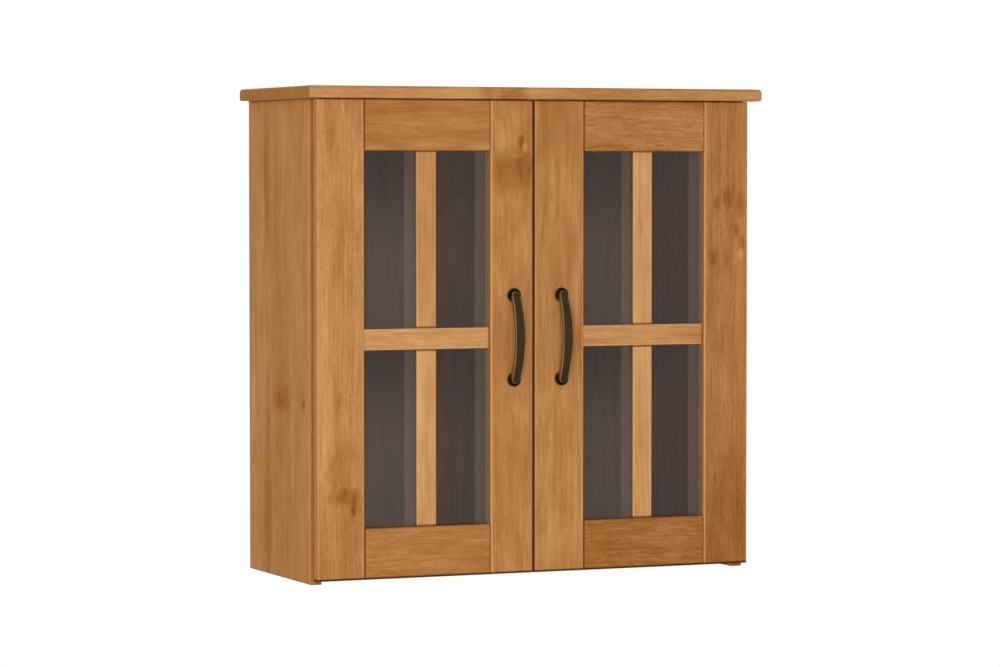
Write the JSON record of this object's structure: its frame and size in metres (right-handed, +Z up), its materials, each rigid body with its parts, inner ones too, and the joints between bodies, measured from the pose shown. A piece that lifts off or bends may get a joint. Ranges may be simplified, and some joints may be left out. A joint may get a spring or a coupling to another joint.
{
  "type": "wall cabinet",
  "caption": "Wall-hung pine cabinet with glazed, barred doors on concealed cup hinges, bow handles, an overhanging top board and an inner shelf; stores and shows small things.",
  "frame": {"origin": "midway between the two wall screw holes, on the wall plane", "axes": "+X to the right seen from the room, +Y into the wall, +Z up"},
  "size_m": [0.66, 0.2805, 0.655],
  "materials": {
    "honey_pine": "honey-stained pine, satin lacquer",
    "plywood": "stained plywood",
    "beech": "raw beech",
    "grey_glass": "clear, lightly grey float glass",
    "antique_bronze": "browned cast metal, rubbed edges",
    "black_bronze": "blackened cast metal",
    "nickel_plated_steel": "nickel plated",
    "zinc_plated_steel": "zinc plated",
    "clear_silicone": "translucent"
  },
  "bodies": {
    "cabinet": {"top_board": "honey_pine", "left_side_panel": "honey_pine", "right_side_panel": "honey_pine", "bottom_board": "honey_pine", "hanging_rail": "honey_pine", "shelf": "honey_pine", "back_panel": "plywood", "shelf_pins": "zinc_plated_steel", "carcass_dowels": "beech", "back_panel_nails": "zinc_plated_steel", "hinge_plate_screws": "zinc_plated_steel", "hinge_clamp_screws": "zinc_plated_steel", "left_lower_hinge_arm": "nickel_plated_steel", "left_lower_hinge_plate": "nickel_plated_steel", "left_upper_hinge_arm": "nickel_plated_steel", "left_upper_hinge_plate": "nickel_plated_steel", "right_lower_hinge_arm": "nickel_plated_steel", "right_lower_hinge_plate": "nickel_plated_steel", "right_upper_hinge_arm": "nickel_plated_steel", "right_upper_hinge_plate": "nickel_plated_steel"},
    "left_door": {"left_lower_hinge_cup": "nickel_plated_steel", "left_lower_hinge_pin": "nickel_plated_steel", "left_upper_hinge_cup": "nickel_plated_steel", "left_upper_hinge_pin": "nickel_plated_steel", "left_hinge_stile": "honey_pine", "left_meeting_stile": "honey_pine", "left_top_rail": "honey_pine", "left_bottom_rail": "honey_pine", "left_level_bar": "honey_pine", "left_upright_bar": "honey_pine", "left_glazing_beads": "honey_pine", "left_glass": "grey_glass", "left_handle": "antique_bronze", "left_handle_rosettes": "black_bronze", "left_handle_screws": "zinc_plated_steel", "left_cup_screws": "zinc_plated_steel", "left_bumper": "clear_silicone"},
    "right_door": {"right_lower_hinge_cup": "nickel_plated_steel", "right_lower_hinge_pin": "nickel_plated_steel", "right_upper_hinge_cup": "nickel_plated_steel", "right_upper_hinge_pin": "nickel_plated_steel", "right_hinge_stile": "honey_pine", "right_meeting_stile": "honey_pine", "right_top_rail": "honey_pine", "right_bottom_rail": "honey_pine", "right_level_bar": "honey_pine", "right_upright_bar": "honey_pine", "right_glazing_beads": "honey_pine", "right_glass": "grey_glass", "right_handle": "antique_bronze", "right_handle_rosettes": "black_bronze", "right_handle_screws": "zinc_plated_steel", "right_cup_screws": "zinc_plated_steel", "right_bumper": "clear_silicone"}
  },
  "joints": [
    {"name": "left_door_hinge", "type": "hinge", "parent": "cabinet", "child": "left_door", "pos_m": [-0.3065, -0.2465, -0.282], "axis": [0, 0, -1], "range_deg": [0, 95]},
    {"name": "right_door_hinge", "type": "hinge", "parent": "cabinet", "child": "right_door", "pos_m": [0.3065, -0.2465, -0.282], "axis": [0, 0, 1], "range_deg": [0, 95]}
  ]
}
